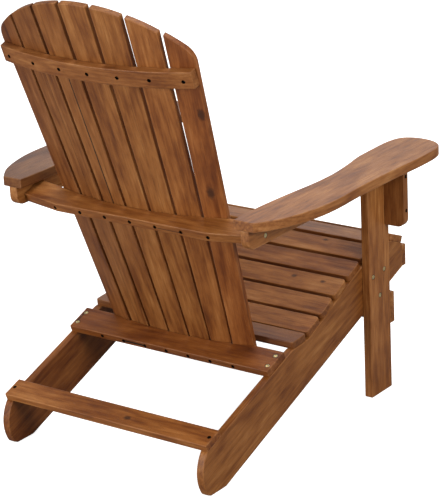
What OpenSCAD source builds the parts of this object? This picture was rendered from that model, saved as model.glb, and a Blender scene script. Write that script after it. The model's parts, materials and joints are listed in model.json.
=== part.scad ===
// Fixed adirondack chair: a fan of seven back slats and a contoured seat on two sloping stringers.
// The chair faces -Y, +Z is up, and the origin lies on the floor in the middle of the footprint.
// Left and right are those of the person sitting in it, so the left side is at +X.

/* [Frame] */
// Width across the outer faces of the two stringers
seat_w = 512; // [480:1:530]
// Depth from the front apron to the back of the feet
chair_d = 754; // [750:1:758]
// Angle of the stringers, which is also how far the back leans, in degrees
lean = 19.5; // [19:0.1:20]
// Thickness of a stringer
stringer_t = 17; // [15:0.5:19]
// Thickness of a front leg
leg_t = 19; // [17:0.5:22]
// Width of a front leg
leg_w = 79; // [70:1:84]

/* [Seat] */
// Distance from one seat slat to the next
seat_pitch = 57; // [55:0.5:58]
// Gap between two seat slats
seat_gap = 7; // [5:0.5:10]
// Thickness of a seat slat
seat_t = 15; // [12:0.5:16]

/* [Back] */
// Distance between slat centres where the back meets the stringers
fan_pitch = 52; // [48:0.5:54]
// How much wider that distance grows for each millimetre up the back
fan_flare = 0.0265; // [0.015:0.0005:0.028]
// Gap between two back slats at their foot
back_gap = 4; // [3:0.5:6]
// Gap between two back slats at their top
back_gap_top = 8.5; // [6:0.5:10]
// Thickness of a back slat
back_t = 13; // [12:0.5:17]
// Length of the middle back slat
back_len = 813; // [790:1:830]
// Radius of the arc that the tops of the slats follow
crown_r = 336; // [310:1:400]
// Radius of the round outer shoulders of the back
shoulder_r = 44; // [20:1:60]
// Radius of the hollow across the back
hollow_r = 1000; // [900:10:1400]

/* [Arms] */
// Height of the underside of the arms
arm_z = 518; // [514:1:520]
// Thickness of an arm
arm_t = 20; // [16:0.5:22]

/* [Hidden] */
back_slats = 7;
seat_slats = 8;
$fn = 48;

wood = "peru";
dark_wood = "sienna";
zinc = "silver";

// Frame
half_w = seat_w / 2;
apron_t = 14;
front_y = -chair_d / 2 + apron_t;
foot_r = 75;
foot_y = chair_d / 2 - foot_r;
foot_z = 47;
rake = tan(lean);
stringer_in = half_w - stringer_t;
leg_out = half_w + leg_t;
leg_y = -281;
rail_t = 16;

// Seat: every slat lies on its own flat of the stringer, from the front slat to the rear one
seat_slopes = [-22, 3, 19, 22, 25, 25, 22, 4];
seat_w_slat = seat_pitch - seat_gap;
seat_back_y = 61;
seat_back_z = 200;

// Back: the frame at the foot of the back has X across, Y square to the back and Z up along it
back_y = 100.8;
back_z = seat_back_z - (back_y - seat_back_y) * rake;
mid_rail_s = 319;
mid_rail_h = 20;
top_rail_s = 650;
top_rail_h = 37;
top_rail_half = 228;
lower_rail_d = 46;
lower_rail_half = half_w - 2;
outer_trim = 8;
foot_inset = 4;
foot_hollow_r = 1350;

// Arms, brackets and cleats
cleat_in = 279;
cleat_t = 20;
cleat_h = 40;
cleat_front_y = -110;
cleat_rear_y = 253;
bracket_reach = 49;
bracket_t = 18;
bracket_z = 372;

// Fasteners
bolt_r = 3;
bolt_head_r = 4.5;
bolt_head_h = 3;
screw_r = 2.25;
screw_head_r = 4;
screw_head_h = 3;
dowel_r = 4;
play = 0.1;
bolt_rim = 0.8;
leg_bolt_places = [[-259, 275], [-216, 270], [-241, 222]];

// Points along the open curve that runs smoothly through a list of points
function spline_point(a, b, c, d, t) =
    0.5 * (2 * b + (c - a) * t + (2 * a - 5 * b + 4 * c - d) * t * t
           + (3 * b - a - 3 * c + d) * t * t * t);
function smooth(p, steps) =
    let (last = len(p) - 1)
    concat(
        [for (i = [0:last - 1], k = [0:steps - 1])
            spline_point(p[max(i - 1, 0)], p[i], p[i + 1], p[min(i + 2, last)], k / steps)],
        [p[last]]
    );

function arc(cx, cy, r, from, to, steps) =
    [for (k = [0:steps]) let (a = from + (to - from) * k / steps) [cx + r * cos(a), cy + r * sin(a)]];

// ---- Seat geometry -------------------------------------------------------

// Corner k of the stringer's seat edge as [y, z]: corner 0 is the nose and the last one is at the back
function seat_corner(k) =
    k == seat_slats
    ? [seat_back_y, seat_back_z]
    : seat_corner(k + 1) + seat_pitch * [-cos(seat_slopes[k]), sin(seat_slopes[k])];

function stringer_top(y) = seat_back_z - (y - seat_back_y) * rake;
function stringer_bottom(y) = 244 - (y - front_y) * tan(20);

// Places a board's frame on flat k of the seat: X across, Y along the flat, Z square to it
module on_seat(k) {
    corner = seat_corner(k);
    translate([0, corner[0], corner[1]]) rotate([-seat_slopes[k], 0, 0]) children();
}

// Places the frame that lies on the straight rear part of the stringers, with its origin at y
module on_stringers(y) {
    translate([0, y, stringer_top(y)]) rotate([-lean, 0, 0]) children();
}

// ---- Back geometry -------------------------------------------------------

// Depth of a hollow of radius r at a distance x from the middle
function hollow(x, r = hollow_r) = r - sqrt(r * r - x * x);
function fan_x(k, s) = k * (fan_pitch + fan_flare * s);
function fan_foot(k) = [fan_x(k, 0), -foot_inset - hollow(fan_x(k, 0), foot_hollow_r), 0];
function fan_head(k) = [fan_x(k, back_len), -hollow(fan_x(k, back_len)), back_len];
function fan_tilt(k) = atan(k * fan_flare);
function fan_dip(k) = atan((fan_head(k)[1] - fan_foot(k)[1]) / back_len);
function fan_turn(k) = -asin(fan_x(k, back_len / 2) / hollow_r);
function slat_rank(i) = i - (back_slats + 1) / 2;

module on_back() {
    translate([0, back_y, back_z]) rotate([-lean, 0, 0]) children();
}

// Places the frame of back slat i: X across it, Y square to its rear face, Z up along it
module on_slat(i) {
    k = slat_rank(i);
    on_back()
        translate(fan_foot(k))
        rotate([-fan_dip(k), 0, 0]) rotate([0, fan_tilt(k), 0]) rotate([0, 0, fan_turn(k)])
        children();
}

// The wedge of space in front of slat i's rear face, which the rails are cut back to
module slat_facet(i) {
    reach = 60;
    half_low = (fan_pitch + 1) / 2;
    half_high = half_low + fan_flare * back_len / 2;
    on_slat(i)
        rotate([90, 0, 0])
        linear_extrude(reach)
        polygon([[-half_low, -40], [half_low, -40], [half_high, back_len], [-half_high, back_len]]);
}

// ---- Fasteners -----------------------------------------------------------

// A screw whose head's top is at the origin and whose shank runs down -Z
module screw(length, shank_r = screw_r, head_r = screw_head_r, head_h = screw_head_h) {
    difference() {
        union() {
            translate([0, 0, -head_h]) cylinder(h = head_h, r = head_r);
            translate([0, 0, -length]) cylinder(h = length - head_h + 1, r = shank_r);
        }
        translate([0, 0, -head_h / 2]) cylinder(h = head_h, r = head_r * 0.45, $fn = 6);
    }
}

// The hole that a screw needs, with a round recess above its head
module screw_hole(length, recess, shank_r = screw_r, head_r = screw_head_r + play, head_h = screw_head_h) {
    translate([0, 0, -length - play]) cylinder(h = length, r = shank_r + play);
    translate([0, 0, -head_h]) cylinder(h = head_h + recess, r = head_r);
}

module bolt(length) {
    screw(length, bolt_r, bolt_head_r, bolt_head_h);
}

// A bolt's head sits in a slightly wider hole, which leaves an open ring round it
module bolt_hole(length) {
    screw_hole(length, 20, bolt_r, bolt_head_r + bolt_rim, bolt_head_h);
}

module dowel(length) {
    cylinder(h = length, r = dowel_r);
}

module dowel_hole(length) {
    translate([0, 0, -play]) cylinder(h = length + 2 * play, r = dowel_r + play);
}

module both_sides() {
    children();
    mirror([1, 0, 0]) children();
}

// ---- Places of the fasteners ---------------------------------------------

leg_bolt_len = 34;
module at_leg_bolts() {
    for (place = leg_bolt_places)
        translate([leg_out, place[0], place[1]]) rotate([0, 90, 0]) children();
}

cleat_bolt_len = 60;
module at_cleat_bolt() {
    on_back()
        translate([cleat_in + cleat_t, -11, mid_rail_s + 5])
        rotate([0, 90, 0])
        children();
}

lower_rail_screw_len = 42;
lower_rail_screw_places = [-1.5, 30];
module at_lower_rail_screws() {
    for (y = lower_rail_screw_places)
        on_stringers(back_y) translate([half_w - 12, y, rail_t]) children();
}

cross_rail_y = 313;
cross_rail_d = 49;
cross_rail_screw_len = 36;
cross_rail_recess = 4;
module at_cross_rail_screws() {
    on_stringers(cross_rail_y)
        translate([half_w - stringer_t / 2, cross_rail_d / 2, rail_t - cross_rail_recess])
        children();
}

bracket_screw_len = 60;
bracket_screw_z = [408, 482];
bracket_recess = 8;
module at_bracket_screws() {
    for (z = bracket_screw_z)
        translate([leg_out + bracket_reach - bracket_recess, leg_y + bracket_t / 2, z])
            rotate([0, 90, 0])
            children();
}

board_screw_len = 34;
stretcher_t = 16;
stretcher_z = 144;
stretcher_h = 69;
apron_h = 48;
apron_z = 244;
board_recess = 1;
module at_stretcher_screws() {
    for (z = [stretcher_z + 16, stretcher_z + stretcher_h - 16])
        translate([half_w + leg_t / 2, leg_y - stretcher_t + board_recess, z])
            rotate([90, 0, 0])
            children();
}
module at_apron_screws() {
    for (z = [apron_z + 12, apron_z + apron_h - 14])
        translate([half_w - stringer_t / 2, front_y - apron_t + board_recess, z])
            rotate([90, 0, 0])
            children();
}

// One screw a slat runs through each back rail: the depth is from the slat's rear face to the screw's head
slat_bite = 10;
module at_slat_screw(i, s, depth) {
    on_slat(i) translate([0, depth, s]) rotate([-90, 0, 0]) children();
}
lower_screw_depth = 34;
mid_screw_depth = 20;
top_screw_depth = 12;
lower_screw_s = rail_t / 2;
mid_screw_s = mid_rail_s + mid_rail_h / 2;
top_screw_s = top_rail_s + top_rail_h / 2;

seat_dowel_len = 22;
seat_dowel_depth = 14;
module at_seat_dowels(k) {
    both_sides()
        on_seat(k)
        translate([half_w - stringer_t / 2, seat_pitch / 2, -seat_dowel_depth])
        children();
}

arm_dowel_len = 26;
arm_dowel_depth = 16;
arm_dowel_places = [
    [half_w + leg_t / 2, leg_y + 25],
    [half_w + leg_t / 2, leg_y + leg_w - 20],
    [leg_out + bracket_reach / 2, leg_y + bracket_t / 2],
    [cleat_in + cleat_t / 2, cleat_rear_y - 100],
    [cleat_in + cleat_t / 2, cleat_rear_y - 30]
];
module at_arm_dowels() {
    for (place = arm_dowel_places)
        translate([place[0], place[1], arm_z - arm_dowel_depth]) children();
}

// ---- Back slats ----------------------------------------------------------

// Everything below the arc that the tops of the slats follow, with the arc's centre at the origin
module crown() {
    circle(r = crown_r, $fn = 180);
    translate([-crown_r, -2 * crown_r]) square(2 * crown_r);
}

// The top of the back as slat i sees it, on slats that don't reach the outside of the fan
module crown_over(i) {
    k = slat_rank(i);
    foot = fan_foot(k);
    tilt = fan_tilt(k);
    crown_z = back_len - crown_r;
    translate([-foot[0] * cos(tilt) - crown_z * sin(tilt), crown_z * cos(tilt) - foot[0] * sin(tilt)])
        crown();
}

// The same on the two outer slats, whose trimmed outer side meets the crown in a round shoulder
module shoulder_over(i, low, high) {
    out = sign(slat_rank(i));
    offset(r = shoulder_r) offset(delta = -shoulder_r)
        intersection() {
            crown_over(i);
            polygon([
                [-out * crown_r, -crown_r], [out * low, -crown_r], [out * low, 0],
                [out * (high - outer_trim), back_len], [-out * crown_r, back_len]
            ]);
        }
}

module back_slat(i) {
    low = (fan_pitch - back_gap) / 2;
    high = (fan_pitch + fan_flare * back_len - back_gap_top) / 2;
    screw_places = [
        [lower_screw_s, lower_screw_depth],
        [mid_screw_s, mid_screw_depth],
        [top_screw_s, top_screw_depth]
    ];
    color(i % 2 == 0 ? dark_wood : wood)
    difference() {
        on_slat(i)
            rotate([90, 0, 0])
            linear_extrude(back_t)
            intersection() {
                polygon([[-low, 2], [low, 2], [high, back_len], [-high, back_len]]);
                if (i == 1 || i == back_slats) {
                    shoulder_over(i, low, high);
                } else {
                    crown_over(i);
                }
            }
        for (place = screw_places)
            at_slat_screw(i, place[0], place[1])
                screw_hole(place[1] + slat_bite, 0);
    }
}

// ---- Back rails ----------------------------------------------------------

// A board in the back's own frame, cut back to the rear faces of the slats and drilled for their screws
module back_rail(outline, s, h, screw_s, screw_depth) {
    difference() {
        on_back() translate([0, 0, s]) linear_extrude(h) polygon(outline);
        for (i = [1:back_slats]) {
            slat_facet(i);
            at_slat_screw(i, screw_s, screw_depth) screw_hole(screw_depth + slat_bite, 40);
        }
    }
}

module top_back_rail() {
    rail_d = 16;
    half_angle = asin(top_rail_half / hollow_r);
    steps = 24;
    rear = [for (k = [-steps:steps])
        let (a = half_angle * k / steps)
        [(hollow_r + rail_d) * sin(a), (hollow_r + rail_d) * cos(a) - hollow_r]];
    front = [[rear[2 * steps][0], -40], [rear[0][0], -40]];
    color(wood) back_rail(concat(rear, front), top_rail_s, top_rail_h, top_screw_s, top_screw_depth);
}

module mid_back_rail() {
    rear_d = 31;
    end_rear_d = 18;
    bend_x = 188;
    end_front_d = -36;
    fan_front_d = -24;
    fan_half = 214;
    outline = [
        [-cleat_in, end_front_d], [-fan_half, fan_front_d], [fan_half, fan_front_d],
        [cleat_in, end_front_d], [cleat_in, end_rear_d], [bend_x, rear_d],
        [-bend_x, rear_d], [-cleat_in, end_rear_d]
    ];
    color(wood)
    difference() {
        back_rail(outline, mid_rail_s, mid_rail_h, mid_screw_s, mid_screw_depth);
        both_sides() at_cleat_bolt() bolt_hole(cleat_bolt_len);
    }
}

module lower_back_rail() {
    front_d = -18;
    outline = [
        [-lower_rail_half, front_d], [lower_rail_half, front_d],
        [lower_rail_half, lower_rail_d], [-lower_rail_half, lower_rail_d]
    ];
    color(dark_wood)
    difference() {
        back_rail(outline, 0, rail_t, lower_screw_s, lower_screw_depth);
        both_sides() at_lower_rail_screws() bolt_hole(lower_rail_screw_len);
    }
}

module rear_cross_rail() {
    color(dark_wood)
    difference() {
        on_stringers(cross_rail_y)
            translate([-half_w, 0, 0])
            cube([seat_w, cross_rail_d, rail_t]);
        both_sides() at_cross_rail_screws() screw_hole(cross_rail_screw_len, cross_rail_recess + 1);
    }
}

// ---- Seat ----------------------------------------------------------------

module seat_slat(i) {
    k = i - 1;
    corner_r = 8;
    slat_half = half_w - 1;
    color(i % 2 == 0 ? wood : dark_wood)
    difference() {
        on_seat(k)
            translate([0, seat_gap / 2, 0])
            linear_extrude(seat_t)
            polygon(concat(
                arc(slat_half - corner_r, corner_r, corner_r, -90, 0, 6),
                arc(slat_half - corner_r, seat_w_slat - corner_r, corner_r, 0, 90, 6),
                arc(corner_r - slat_half, seat_w_slat - corner_r, corner_r, 90, 180, 6),
                arc(corner_r - slat_half, corner_r, corner_r, 180, 270, 6)
            ));
        at_seat_dowels(k) dowel_hole(seat_dowel_len);
    }
}

// ---- Sides ---------------------------------------------------------------

// The stringer is the sloping side board: it carries the seat and runs down to the rear foot
module stringer() {
    seat_edge = [for (k = [1:seat_slats]) seat_corner(k)];
    nose = seat_corner(0);
    crest = seat_corner(1);
    front_z = nose[1] + (front_y - nose[0]) * (crest[1] - nose[1]) / (crest[0] - nose[0]);
    outline = concat(
        [[front_y, front_z]],
        seat_edge,
        arc(foot_y, foot_z, foot_r, 40, -35, 15),
        arc(352, 10, 10, -45, -90, 4),
        arc(308, 20, 20, -90, -110, 4),
        [[front_y, stringer_bottom(front_y)]]
    );
    color(dark_wood)
    difference() {
        translate([stringer_in, 0, 0])
            rotate([90, 0, 90])
            linear_extrude(stringer_t)
            polygon(outline);
        at_leg_bolts() bolt_hole(leg_bolt_len);
        at_lower_rail_screws() bolt_hole(lower_rail_screw_len);
        at_cross_rail_screws() screw_hole(cross_rail_screw_len, 5);
        at_apron_screws() screw_hole(board_screw_len, 5);
        for (k = [0:seat_slats - 1])
            at_seat_dowels(k) dowel_hole(seat_dowel_len);
    }
}

module front_leg() {
    color(wood)
    difference() {
        translate([half_w, leg_y, 0]) cube([leg_t, leg_w, arm_z]);
        at_leg_bolts() bolt_hole(leg_bolt_len);
        at_bracket_screws() screw_hole(bracket_screw_len, bracket_recess + 1);
        at_stretcher_screws() screw_hole(board_screw_len, 5);
        at_arm_dowels() dowel_hole(arm_dowel_len);
    }
}

// ---- Arms ----------------------------------------------------------------

module arm() {
    // Outline of the left arm, from the inner rear corner round the paddle to the outer rear corner
    paddle = [
        [265, 255], [263, 170], [268, 80], [275, 0], [276, -70], [268, -140], [259, -190],
        [256, -250], [256, -310], [266, -347], [292, -363], [328, -363], [358, -347], [373, -315],
        [376, -250], [373, -180], [371, -100], [371, -20], [374, 50], [371, 110], [360, 162],
        [341, 212], [311, 255]
    ];
    color(wood)
    difference() {
        translate([0, 0, arm_z])
            linear_extrude(arm_t)
            polygon(smooth(paddle, 4));
        at_arm_dowels() dowel_hole(arm_dowel_len);
    }
}

module arm_bracket() {
    corner_r = 18;
    height = arm_z - bracket_z;
    outline = concat(
        [[0, 0]],
        arc(bracket_reach - corner_r, corner_r, corner_r, -90, 0, 8),
        [[bracket_reach, height], [0, height]]
    );
    color(dark_wood)
    difference() {
        translate([leg_out, leg_y + bracket_t, bracket_z])
            rotate([90, 0, 0])
            linear_extrude(bracket_t)
            polygon(outline);
        at_bracket_screws() screw_hole(bracket_screw_len, bracket_recess + 1);
        at_arm_dowels() dowel_hole(arm_dowel_len);
    }
}

module arm_cleat() {
    corner_r = 20;
    length = cleat_rear_y - cleat_front_y;
    outline = concat(
        [[0, cleat_h], [0, 0]],
        arc(length - corner_r, corner_r, corner_r, -90, 0, 8),
        [[length, cleat_h]]
    );
    color(dark_wood)
    difference() {
        translate([cleat_in, cleat_front_y, arm_z - cleat_h])
            rotate([90, 0, 90])
            linear_extrude(cleat_t)
            polygon(outline);
        at_cleat_bolt() bolt_hole(cleat_bolt_len);
        at_arm_dowels() dowel_hole(arm_dowel_len);
    }
}

// ---- Boards across the front ---------------------------------------------

module front_apron() {
    color(dark_wood)
    difference() {
        translate([-half_w, front_y - apron_t, apron_z]) cube([seat_w, apron_t, apron_h]);
        both_sides() at_apron_screws() screw_hole(board_screw_len, board_recess + 1);
    }
}

module front_stretcher() {
    color(wood)
    difference() {
        translate([-leg_out, leg_y - stretcher_t, stretcher_z])
            cube([2 * leg_out, stretcher_t, stretcher_h]);
        both_sides() at_stretcher_screws() screw_hole(board_screw_len, board_recess + 1);
    }
}

// ---- Groups of fasteners -------------------------------------------------

module leg_bolts() {
    color(zinc) both_sides() at_leg_bolts() bolt(leg_bolt_len);
}

module cleat_bolts() {
    color(zinc) both_sides() at_cleat_bolt() bolt(cleat_bolt_len);
}

module lower_rail_screws() {
    color(zinc) both_sides() at_lower_rail_screws() bolt(lower_rail_screw_len);
}

module cross_rail_screws() {
    color("dimgray") both_sides() at_cross_rail_screws() screw(cross_rail_screw_len);
}

module bracket_screws() {
    color("dimgray") both_sides() at_bracket_screws() screw(bracket_screw_len);
}

module front_board_screws() {
    color("dimgray")
    both_sides() {
        at_stretcher_screws() screw(board_screw_len);
        at_apron_screws() screw(board_screw_len);
    }
}

module slat_screws(s, depth) {
    color("dimgray")
    for (i = [1:back_slats])
        at_slat_screw(i, s, depth) screw(depth + slat_bite);
}

module seat_dowels() {
    color("burlywood")
    for (k = [0:seat_slats - 1])
        at_seat_dowels(k) dowel(seat_dowel_len);
}

module arm_dowels() {
    color("burlywood") both_sides() at_arm_dowels() dowel(arm_dowel_len);
}

// ---- Assembly ------------------------------------------------------------

for (i = [1:back_slats])
    back_slat(i);
for (i = [1:seat_slats])
    seat_slat(i);
top_back_rail();
mid_back_rail();
lower_back_rail();
rear_cross_rail();
stringer();  // stringer_left
mirror([1, 0, 0]) stringer();  // stringer_right
front_leg();  // front_leg_left
mirror([1, 0, 0]) front_leg();  // front_leg_right
arm();  // arm_left
mirror([1, 0, 0]) arm();  // arm_right
arm_bracket();  // arm_bracket_left
mirror([1, 0, 0]) arm_bracket();  // arm_bracket_right
arm_cleat();  // arm_cleat_left
mirror([1, 0, 0]) arm_cleat();  // arm_cleat_right
front_apron();
front_stretcher();
leg_bolts();
cleat_bolts();
lower_rail_screws();
cross_rail_screws();
bracket_screws();
front_board_screws();
slat_screws(lower_screw_s, lower_screw_depth);  // lower_slat_screws
slat_screws(mid_screw_s, mid_screw_depth);  // mid_slat_screws
slat_screws(top_screw_s, top_screw_depth);  // top_slat_screws
seat_dowels();
arm_dowels();
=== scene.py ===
"""Oiled hardwood adirondack chair: rounded boards, bright bolts and a plain studio."""

import json
import math
import random

import bmesh
import bpy
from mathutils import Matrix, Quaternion, Vector


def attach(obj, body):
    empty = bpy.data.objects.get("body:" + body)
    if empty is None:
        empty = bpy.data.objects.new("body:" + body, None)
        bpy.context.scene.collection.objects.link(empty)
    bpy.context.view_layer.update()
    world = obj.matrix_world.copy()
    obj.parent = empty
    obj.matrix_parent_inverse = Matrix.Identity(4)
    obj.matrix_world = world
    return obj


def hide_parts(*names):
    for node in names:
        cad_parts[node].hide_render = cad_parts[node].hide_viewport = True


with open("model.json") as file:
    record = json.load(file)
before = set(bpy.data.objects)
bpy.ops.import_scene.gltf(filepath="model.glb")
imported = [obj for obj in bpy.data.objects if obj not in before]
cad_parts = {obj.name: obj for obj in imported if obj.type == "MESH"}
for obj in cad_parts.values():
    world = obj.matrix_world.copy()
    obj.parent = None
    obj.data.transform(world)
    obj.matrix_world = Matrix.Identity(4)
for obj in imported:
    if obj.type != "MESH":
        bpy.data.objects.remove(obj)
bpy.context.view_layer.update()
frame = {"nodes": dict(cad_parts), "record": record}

# The directions that the boards' grain follows, in the row frame
LEAN = math.radians(19.5)
ACROSS = Vector((1, 0, 0))
BACKWARD = Vector((0, 1, 0))
UPWARD = Vector((0, 0, 1))
DOWN_THE_SLOPE = Vector((0, math.cos(LEAN), -math.sin(LEAN)))

# Corners this close are joined, and faces this nearly flat are made into one
WELD = 1e-5
FLAT = math.radians(0.5)

# An edge is rounded if it is sharper than this and isn't part of a screw hole's rim
SHARP = math.radians(35)
LARGEST_HOLE = 0.014

# Radii of the rounded edges, in metres
BOARD_ROUNDING = 0.002
DOWEL_ROUNDING = 0.0005
METAL_ROUNDING = 0.0004

# Radians of ring per metre out from the heart, which puts a ring every 8 mm or so
RING_RATE = 760


# ---- Meshes ---------------------------------------------------------------


def connected(edges):
    """The edges as lists of edges that touch each other."""
    left = dict.fromkeys(edges)
    groups = []
    while left:
        group = [left.popitem()[0]]
        for edge in group:
            for corner in edge.verts:
                for other in corner.link_edges:
                    if other in left:
                        del left[other]
                        group.append(other)
        groups.append(group)
    return groups


def extent(edges):
    """The longest side of the box round some edges."""
    points = [corner.co for edge in edges for corner in edge.verts]
    return max(max(p[k] for p in points) - min(p[k] for p in points) for k in range(3))


def joined_mesh(name):
    """A CAD node's mesh, with its flat faces in one piece and room for a board's attributes."""
    bm = bmesh.new()
    bm.from_mesh(frame["nodes"][name].data)
    bm.verts.layers.float.new("edge")
    bm.verts.layers.float_vector.new("board")
    bm.faces.layers.float.new("hole")
    bmesh.ops.remove_doubles(bm, verts=bm.verts, dist=WELD)
    bmesh.ops.dissolve_limit(bm, angle_limit=FLAT, verts=bm.verts, edges=bm.edges)
    return bm


def sharp_edges(bm):
    return [e for e in bm.edges if e.is_manifold and e.calc_face_angle() > SHARP]


def round_edges(bm, edges, radius, segments):
    """Rounds the edges and marks the corners that lie inside a rounding as the attribute "edge"."""
    made = bmesh.ops.bevel(
        bm,
        geom=edges,
        offset=radius,
        offset_type="OFFSET",
        segments=segments,
        profile=0.5,
        affect="EDGES",
        clamp_overlap=False,
    )
    rounding = set(made["faces"])
    layer = bm.verts.layers.float["edge"]
    for corner in bm.verts:
        inside = all(face in rounding for face in corner.link_faces)
        corner[layer] = 1.0 if inside else 0.0


def board_axes(bm, grain):
    """Unit vectors along a board's grain, across its widest face and through its thickness."""
    widest = max(bm.faces, key=lambda face: face.calc_area())
    through = (widest.normal - widest.normal.project(grain)).normalized()
    if max(through, key=abs) < 0:
        through.negate()
    return grain, through.cross(grain), through


def mark_holes(bm, rims):
    """Marks the faces whose corners all lie on screw holes' rims as the attribute "hole".

    These are the holes' walls and floors, and a few flat faces that reach from hole to hole.
    """
    corners = {corner for edge in rims for corner in edge.verts}
    layer = bm.faces.layers.float["hole"]
    for face in bm.faces:
        face[layer] = float(all(corner in corners for corner in face.verts))


def longest_edge(bm):
    edge = max(bm.edges, key=lambda e: e.calc_length())
    direction = (edge.verts[1].co - edge.verts[0].co).normalized()
    return direction if direction.z > 0 else -direction


def store_board_points(bm, axes):
    """Keeps each corner's place on its board, from the board's middle, as the attribute "board"."""
    layer = bm.verts.layers.float_vector["board"]
    places = [[corner.co.dot(axis) for axis in axes] for corner in bm.verts]
    middle = [(min(column) + max(column)) / 2 for column in zip(*places)]
    for corner, place in zip(bm.verts, places):
        corner[layer] = [distance - centre for distance, centre in zip(place, middle)]


def finish_piece(bm, name, material):
    """Turns the mesh into a piece that replaces the CAD node of that name and rides on the chair."""
    for face in bm.faces:
        face.smooth = True
    for edge in bm.edges:
        edge.smooth = not (edge.is_manifold and edge.calc_face_angle() > SHARP)
    mesh = bpy.data.meshes.new(name + "_shown")
    bm.to_mesh(mesh)
    bm.free()
    piece = bpy.data.objects.new(name + "_shown", mesh)
    bpy.context.scene.collection.objects.link(piece)
    mesh.materials.clear()
    mesh.materials.append(material)
    normals = piece.modifiers.new("flat_faces", "WEIGHTED_NORMAL")
    normals.keep_sharp = True
    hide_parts(name)
    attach(piece, "root")
    return piece


def make_board(name, material, grain=None, radius=BOARD_ROUNDING):
    bm = joined_mesh(name)
    axes = board_axes(bm, grain or longest_edge(bm))
    groups = connected(sharp_edges(bm))
    outline = [edge for group in groups if extent(group) > LARGEST_HOLE for edge in group]
    rims = [edge for group in groups if extent(group) <= LARGEST_HOLE for edge in group]
    mark_holes(bm, rims)
    round_edges(bm, outline, radius, segments=3)
    store_board_points(bm, axes)
    return finish_piece(bm, name, material)


def make_fasteners(name, material):
    bm = joined_mesh(name)
    round_edges(bm, sharp_edges(bm), METAL_ROUNDING, segments=2)
    return finish_piece(bm, name, material)


# ---- Materials ------------------------------------------------------------


def add(tree, kind, sockets=None, **settings):
    """A new node, with its settings, and with numbers or links on its sockets."""
    made = tree.nodes.new(kind)
    for key, value in settings.items():
        setattr(made, key, value)
    for key, value in (sockets or {}).items():
        if isinstance(value, bpy.types.NodeSocket):
            tree.links.new(value, made.inputs[key])
        else:
            made.inputs[key].default_value = value
    return made


def arithmetic(tree, operation, a, b=0.0, c=0.0):
    return add(tree, "ShaderNodeMath", {0: a, 1: b, 2: c}, operation=operation).outputs[0]


def vector_math(tree, operation, a, b):
    return add(tree, "ShaderNodeVectorMath", {0: a, 1: b}, operation=operation).outputs[0]


def vector_length(tree, vector):
    return add(tree, "ShaderNodeVectorMath", {0: vector}, operation="LENGTH").outputs["Value"]


def noise(tree, place, scale, detail, roughness):
    """Noise from 0 to 1 at a place, with its scale in waves per metre along each axis."""
    stretched = vector_math(tree, "MULTIPLY", place, scale)
    sockets = {"Vector": stretched, "Scale": 1.0, "Detail": detail, "Roughness": roughness}
    return add(tree, "ShaderNodeTexNoise", sockets).outputs["Fac"]


def ramp(tree, factor, stops):
    """A colour ramp through (place, colour) stops."""
    made = add(tree, "ShaderNodeValToRGB", {"Fac": factor})
    elements = made.color_ramp.elements
    while len(elements) < len(stops):
        elements.new(1.0)
    for element, (place, colour) in zip(elements, stops):
        element.position = place
        element.color = (*colour, 1.0)
    return made.outputs["Color"]


def mix(tree, factor, a, b, blend="MIX"):
    made = add(tree, "ShaderNodeMix", {0: factor, 6: a, 7: b}, data_type="RGBA", blend_type=blend)
    return made.outputs[2]


def spread(tree, value, low, high):
    """Takes the value from low..high to 0..1, with soft ends."""
    sockets = {"Value": value, "From Min": low, "From Max": high}
    return add(tree, "ShaderNodeMapRange", sockets, interpolation_type="SMOOTHSTEP").outputs["Result"]


def new_group(name, inputs, outputs):
    group = bpy.data.node_groups.new(name, "ShaderNodeTree")
    for label, kind in inputs:
        group.interface.new_socket(label, in_out="INPUT", socket_type=kind)
    for label, kind in outputs:
        group.interface.new_socket(label, in_out="OUTPUT", socket_type=kind)
    return group, group.nodes.new("NodeGroupInput").outputs, group.nodes.new("NodeGroupOutput").inputs


def make_knot_group():
    """How near a point is to a knot: 1 at its heart, and 0 well outside it."""
    group, given, result = new_group(
        "knot",
        [("Board", "NodeSocketVector"), ("Place", "NodeSocketVector"), ("Size", "NodeSocketFloat")],
        [("Knot", "NodeSocketFloat")],
    )
    away = vector_math(group, "SUBTRACT", given["Board"], given["Place"])
    # A knot is a little longer along the grain, and runs right through the board
    shaped = vector_math(group, "MULTIPLY", away, (0.6, 1.0, 0.25))
    distance = vector_length(group, shaped)
    uneven = noise(group, given["Board"], (120, 160, 60), 3.0, 0.6)
    wobbly = arithmetic(group, "MULTIPLY", distance, arithmetic(group, "ADD", uneven, 0.5))
    share = arithmetic(group, "DIVIDE", wobbly, given["Size"])
    group.links.new(arithmetic(group, "SUBTRACT", 1.0, spread(group, share, 0.0, 1.0)), result["Knot"])
    return group


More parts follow.
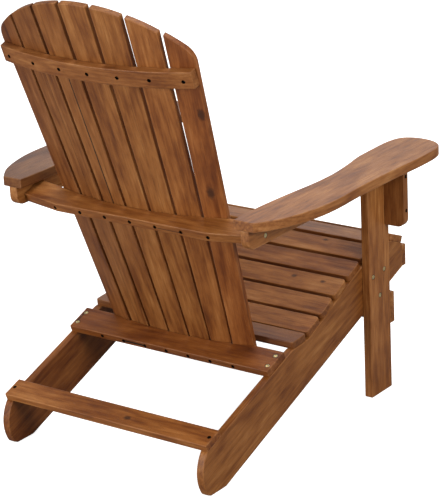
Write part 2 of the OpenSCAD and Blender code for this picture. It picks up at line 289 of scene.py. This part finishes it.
def make_wood_group():
    """Oiled hardwood in the board's own directions, with growth rings, pores, pale edges that are
    partly wear and partly a painted highlight, and painted shade in the screw holes.
    """
    group, given, result = new_group(
        "oiled_wood",
        [
            ("Board", "NodeSocketVector"),
            ("Shift", "NodeSocketVector"),
            ("Knot", "NodeSocketFloat"),
            ("Edge", "NodeSocketFloat"),
            ("Hole", "NodeSocketFloat"),
            ("Tone_and_painted_light", "NodeSocketColor"),
        ],
        [("Color", "NodeSocketColor"), ("Roughness", "NodeSocketFloat"), ("Height", "NodeSocketFloat")],
    )
    place = vector_math(group, "ADD", given["Board"], given["Shift"])
    blotch = noise(group, place, (6, 24, 24), 3.0, 0.55)
    mottle = noise(group, place, (24, 60, 60), 3.0, 0.6)
    figure = noise(group, place, (13, 120, 120), 3.0, 0.6)
    fibre = noise(group, place, (14, 400, 400), 4.0, 0.65)
    pore = spread(group, noise(group, place, (70, 1500, 1500), 2.0, 0.5), 0.56, 0.72)

    # Growth rings lie round a line beside the board, bent by slow noise and pushed aside by knots
    bend = noise(group, place, (2.2, 10, 10), 2.0, 0.5)
    radius = vector_length(group, vector_math(group, "MULTIPLY", place, (0, 1, 1)))
    bent = arithmetic(group, "MULTIPLY_ADD", bend, 0.045, radius)
    pushed = arithmetic(group, "MULTIPLY_ADD", given["Knot"], 0.012, bent)
    wave = arithmetic(group, "SINE", arithmetic(group, "MULTIPLY", pushed, RING_RATE))
    ring = arithmetic(group, "POWER", arithmetic(group, "MULTIPLY_ADD", wave, 0.5, 0.5), 2.0)

    # The middle of each noise leaves the tone close to 0.5
    tone = arithmetic(group, "MULTIPLY_ADD", blotch, 1.0, -0.7)
    tone = arithmetic(group, "MULTIPLY_ADD", mottle, 0.3, tone)
    tone = arithmetic(group, "MULTIPLY_ADD", figure, 0.7, tone)
    tone = arithmetic(group, "MULTIPLY_ADD", fibre, 0.5, tone)
    tone = arithmetic(group, "MULTIPLY_ADD", ring, -0.08, tone)
    mixed_colour = ramp(
        group,
        tone,
        [
            (0.12, (0.085, 0.022, 0.0035)),
            (0.34, (0.165, 0.048, 0.0080)),
            (0.50, (0.235, 0.078, 0.0150)),
            (0.66, (0.300, 0.110, 0.0250)),
            (0.86, (0.400, 0.170, 0.0480)),
        ],
    )
    mixed_colour = mix(group, 1.0, mixed_colour, given["Tone_and_painted_light"], "MULTIPLY")
    mixed_colour = mix(group, arithmetic(group, "MULTIPLY", pore, 0.45), mixed_colour, (0.055, 0.016, 0.004, 1))
    knotted = spread(group, given["Knot"], 0.15, 0.8)
    mixed_colour = mix(group, arithmetic(group, "MULTIPLY", knotted, 0.8), mixed_colour, (0.030, 0.009, 0.003, 1))
    # Rounded edges are lightened towards pale tan: partly wear, partly a painted highlight on the
    # roundings
    wear_and_highlight = arithmetic(group, "MULTIPLY", given["Edge"], spread(group, figure, 0.25, 0.75))
    mixed_colour = mix(group, arithmetic(group, "MULTIPLY", wear_and_highlight, 0.3), mixed_colour, (0.42, 0.205, 0.080, 1))
    # Hole walls and floors, and a few flat faces between holes, are painted nearly black: painted shade
    # in the screw holes
    mixed_colour = mix(group, given["Hole"], mixed_colour, (0.012, 0.005, 0.002, 1))
    group.links.new(mixed_colour, result["Color"])
    group.links.new(arithmetic(group, "MULTIPLY_ADD", fibre, 0.22, 0.36), result["Roughness"])
    hollows = arithmetic(group, "MULTIPLY_ADD", pore, -0.6, fibre)
    group.links.new(hollows, result["Height"])
    return group


KNOT_GROUP = make_knot_group()
WOOD_GROUP = make_wood_group()


def surface(tree, sockets):
    """A Principled shader with these sockets on the material's output."""
    shader = add(tree, "ShaderNodeBsdfPrincipled", sockets)
    output = tree.nodes.new("ShaderNodeOutputMaterial")
    tree.links.new(shader.outputs[0], output.inputs["Surface"])


def new_material(name):
    material = bpy.data.materials.new(name)
    material.use_nodes = True
    material.node_tree.nodes.clear()
    return material, material.node_tree


def attribute(tree, name, output):
    return add(tree, "ShaderNodeAttribute", attribute_name=name).outputs[output]


def make_wood(name, tone=(1, 1, 1), knots=()):
    """The wood of one board, with knots as their place along and across it and their size."""
    material, tree = new_material(name)
    chance = random.Random(name)
    shift = (chance.uniform(0, 9), chance.uniform(-0.05, 0.05), chance.uniform(0.05, 0.09))
    board = attribute(tree, "board", "Vector")
    knot = 0.0
    for along, across, size in knots:
        sockets = {"Board": board, "Place": (along, across, 0), "Size": size}
        found = add(tree, "ShaderNodeGroup", sockets, node_tree=KNOT_GROUP)
        knot = arithmetic(tree, "MAXIMUM", knot, found.outputs["Knot"])
    sockets = {
        "Board": board,
        "Shift": shift,
        "Knot": knot,
        "Edge": attribute(tree, "edge", "Fac"),
        "Hole": attribute(tree, "hole", "Fac"),
        "Tone_and_painted_light": (*tone, 1),
    }
    wood = add(tree, "ShaderNodeGroup", sockets, node_tree=WOOD_GROUP)
    relief = {"Strength": 0.35, "Distance": 0.0006, "Height": wood.outputs["Height"]}
    bump = add(tree, "ShaderNodeBump", relief)
    surface(
        tree,
        {
            "Base Color": wood.outputs["Color"],
            "Roughness": wood.outputs["Roughness"],
            "Normal": bump.outputs[0],
            "IOR": 1.45,
            "Specular IOR Level": 0.36,
        },
    )
    return material


def make_metal(name, colour, dark, roughness):
    """Plated steel with fine scratches and a duller film in patches."""
    material, tree = new_material(name)
    place = add(tree, "ShaderNodeTexCoord").outputs["Object"]
    film = noise(tree, place, (260, 260, 260), 3.0, 0.6)
    scratch = noise(tree, place, (2400, 300, 2400), 2.0, 0.6)
    mixed_colour = mix(tree, spread(tree, film, 0.35, 0.7), (*colour, 1), (*dark, 1))
    rough = arithmetic(tree, "MULTIPLY_ADD", scratch, 0.25, roughness - 0.12)
    bump = add(tree, "ShaderNodeBump", {"Strength": 0.2, "Distance": 0.0001, "Height": scratch})
    surface(
        tree,
        {
            "Base Color": mixed_colour,
            "Roughness": rough,
            "Normal": bump.outputs[0],
            "Metallic": 1.0,
        },
    )
    return material


# ---- The chair ------------------------------------------------------------

# What each board's colour is multiplied by in red, green and blue, where it isn't (1, 1, 1): partly the
# boards' own tone, and on the boards marked below painted light and painted shade on the whole board
BOARD_TONES_AND_PAINTED_LIGHT = {
    "back_slat_1": (0.93, 0.80, 0.74),
    "back_slat_2": (1.04, 1.0, 1.0),
    "back_slat_4": (1.05, 1.08, 1.15),
    "back_slat_5": (0.94, 0.94, 0.98),
    "back_slat_6": (0.86, 0.86, 0.92),
    "back_slat_7": (0.74, 0.68, 0.68),
    # Seat slats 4 and 8 are darkened: painted shade
    "seat_slat_4": (0.86, 0.80, 0.76),
    "seat_slat_8": (0.62, 0.56, 0.50),
    "top_back_rail": (0.92, 0.90, 0.94),
    # The mid and lower back rails are darkened: painted shade for the shadow of the leaning back on
    # their tops
    "mid_back_rail": (0.92, 0.88, 0.82),
    "lower_back_rail": (0.72, 0.60, 0.48),
    "rear_cross_rail": (1.05, 1.0, 0.95),
    # The left stringer is darkened: painted shade on its inner face, which lies inside the chair
    "stringer_left": (0.80, 0.70, 0.62),
    # The right front leg is lightened: painted light
    "front_leg_right": (1.3, 1.38, 1.6),
    # The left arm is darkened: painted shade
    "arm_left": (0.62, 0.60, 0.62),
    # The right arm and its cleat are lightened, most in blue: a painted sheen
    "arm_right": (1.15, 1.22, 1.45),
    "arm_cleat_right": (1.15, 1.25, 1.5),
}
DOWEL_TONE = (1.6, 1.9, 2.2)

# The place along and across the board and the size of each board's knots, in metres
KNOTS = {
    "back_slat_1": [(0.204, -0.016, 0.014), (0.020, 0.000, 0.016)],
    "rear_cross_rail": [(-0.05, 0.004, 0.010)],
    "seat_slat_3": [(-0.142, -0.015, 0.007)],
    "seat_slat_5": [(-0.136, -0.007, 0.007), (-0.208, -0.007, 0.007)],
}
SLOTS = {row["node"]: row["material_slot"] for row in frame["record"]["subparts"]}


def make_boards():
    names = [n for n in frame["nodes"] if not n.endswith(("bolts", "screws", "dowels"))]
    for name in sorted(names):
        grain = ACROSS
        if name.startswith("back_slat"):
            grain = None
        elif name.startswith("stringer"):
            grain = DOWN_THE_SLOPE
        elif name.startswith(("front_leg", "arm_bracket")):
            grain = UPWARD
        elif name.startswith("arm"):
            grain = BACKWARD
        material = make_wood(name + "_wood", BOARD_TONES_AND_PAINTED_LIGHT.get(name, (1, 1, 1)), KNOTS.get(name, ()))
        make_board(name, material, grain)


def make_all_fasteners():
    metals = {
        "zinc_steel": make_metal("zinc_steel", (0.82, 0.70, 0.42), (0.58, 0.48, 0.26), 0.3),
        "dark_steel": make_metal("dark_steel", (0.06, 0.05, 0.045), (0.02, 0.018, 0.016), 0.5),
    }
    for name in frame["nodes"]:
        slot = SLOTS[name]
        if slot in metals:
            make_fasteners(name, metals[slot])
        elif slot == "dowel_wood":
            pale_wood = make_wood(name + "_wood", DOWEL_TONE)
            make_board(name, pale_wood, UPWARD, DOWEL_ROUNDING)


make_boards()
make_all_fasteners()


# ---- Studio ---------------------------------------------------------------

FLOOR_SIDE = 28
AMBIENT = 0.42

def make_floor():
    mesh = bpy.data.meshes.new("floor")
    half = FLOOR_SIDE / 2
    corners = [(-half, -half, 0), (half, -half, 0), (half, half, 0), (-half, half, 0)]
    mesh.from_pydata(corners, [], [(0, 1, 2, 3)])
    floor = bpy.data.objects.new("floor", mesh)
    bpy.context.scene.collection.objects.link(floor)
    material, tree = new_material("pale_floor")
    # The floor looks white, but throws little light back up at the chair
    seen = add(tree, "ShaderNodeLightPath").outputs["Is Camera Ray"]
    surface(
        tree,
        {
            "Base Color": mix(tree, seen, (0.3, 0.3, 0.3, 1), (0.9, 0.9, 0.9, 1)),
            "Roughness": 0.9,
            "Emission Color": (1, 1, 1, 1),
            "Emission Strength": arithmetic(tree, "MULTIPLY", seen, 0.8),
        },
    )
    mesh.materials.append(material)


def make_light(name, place, target, size, power):
    """A round white lamp that faces its target, with its size in metres and its power in watts."""
    light = bpy.data.lights.new(name, "AREA")
    light.shape = "DISK"
    light.size = size
    light.energy = power
    lamp = bpy.data.objects.new(name, light)
    lamp.location = place
    lamp.rotation_mode = "QUATERNION"
    lamp.rotation_quaternion = (Vector(target) - Vector(place)).to_track_quat("-Z", "Y")
    bpy.context.scene.collection.objects.link(lamp)


def make_world():
    world = bpy.data.worlds.new("studio")
    world.use_nodes = True
    background = world.node_tree.nodes["Background"].inputs
    background["Color"].default_value = (1, 1, 1, 1)
    background["Strength"].default_value = AMBIENT
    bpy.context.scene.world = world


def make_camera(place, azimuth, elevation, roll, lens):
    """Azimuth 0 looks along +Y and 90 along -X, and the roll is about the line of sight."""
    data = bpy.data.cameras.new("camera")
    data.lens = lens
    data.sensor_width = 36
    data.clip_start = 0.05
    camera = bpy.data.objects.new("camera", data)
    flat = math.cos(elevation)
    back = Vector((math.sin(azimuth) * flat, -math.cos(azimuth) * flat, math.sin(elevation)))
    turn = Quaternion((0, 0, 1), roll)
    camera.location = place
    camera.rotation_mode = "QUATERNION"
    camera.rotation_quaternion = (-back).to_track_quat("-Z", "Y") @ turn
    bpy.context.scene.collection.objects.link(camera)
    bpy.context.scene.camera = camera


make_floor()
make_world()
make_light("overhead", (0.0, -0.5, 3.2), (0, 0, 0.4), 1.6, 34)
make_light("side", (-3.0, 0.9, 1.9), (0, 0, 0.4), 1.4, 56)
make_light("rear", (1.1, 3.4, 1.2), (0, 0, 0.5), 1.8, 82)
make_light("front", (1.9, -2.9, 1.5), (0, 0, 0.5), 2.6, 18)
make_camera(
    place=(-2.601, 3.423, 1.878),
    azimuth=math.radians(216.8),
    elevation=math.radians(19.57),
    roll=math.radians(-2.79),
    lens=158.4,
)
bpy.context.scene.view_settings.view_transform = "Standard"
